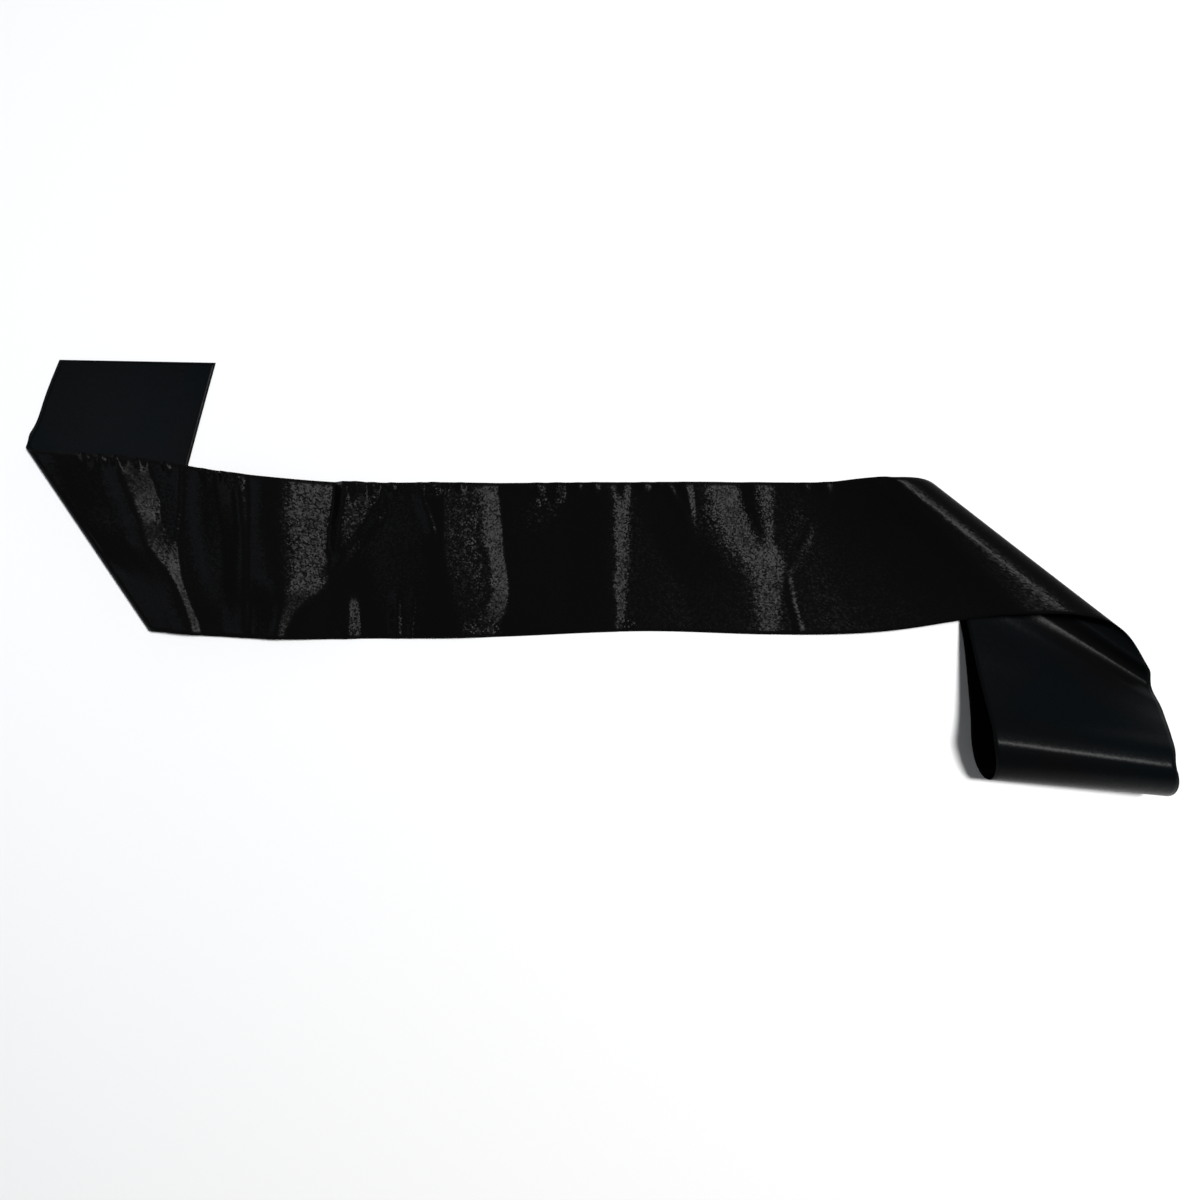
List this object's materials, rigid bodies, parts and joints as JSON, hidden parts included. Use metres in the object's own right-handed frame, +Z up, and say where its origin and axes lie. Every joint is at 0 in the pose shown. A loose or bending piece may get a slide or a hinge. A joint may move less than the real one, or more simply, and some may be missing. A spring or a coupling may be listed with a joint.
{
  "type": "satin sash",
  "caption": "Long plain strip of black satin dropped flat, folded under on a slant at both ends, with a loose loop at one end.",
  "frame": {"origin": "under the middle of the sash's box, on the surface that it lies on", "axes": "+X along the main band from the end flap towards the drop, +Y away from the viewer, +Z up from the surface"},
  "size_m": [0.7476, 0.2872, 0.0487],
  "materials": {
    "satin_face": "glossy black satin face",
    "satin_reverse": "matte blue black satin reverse"
  },
  "bodies": {
    "root": {"end_flap": "satin_reverse", "corner_fold": "satin_face", "band_left": "satin_face", "band_middle": "satin_face", "band_centre": "satin_face", "band_right": "satin_face", "slant_fold": "satin_face", "drop": "satin_face", "tail": "satin_face"}
  },
  "joints": []
}
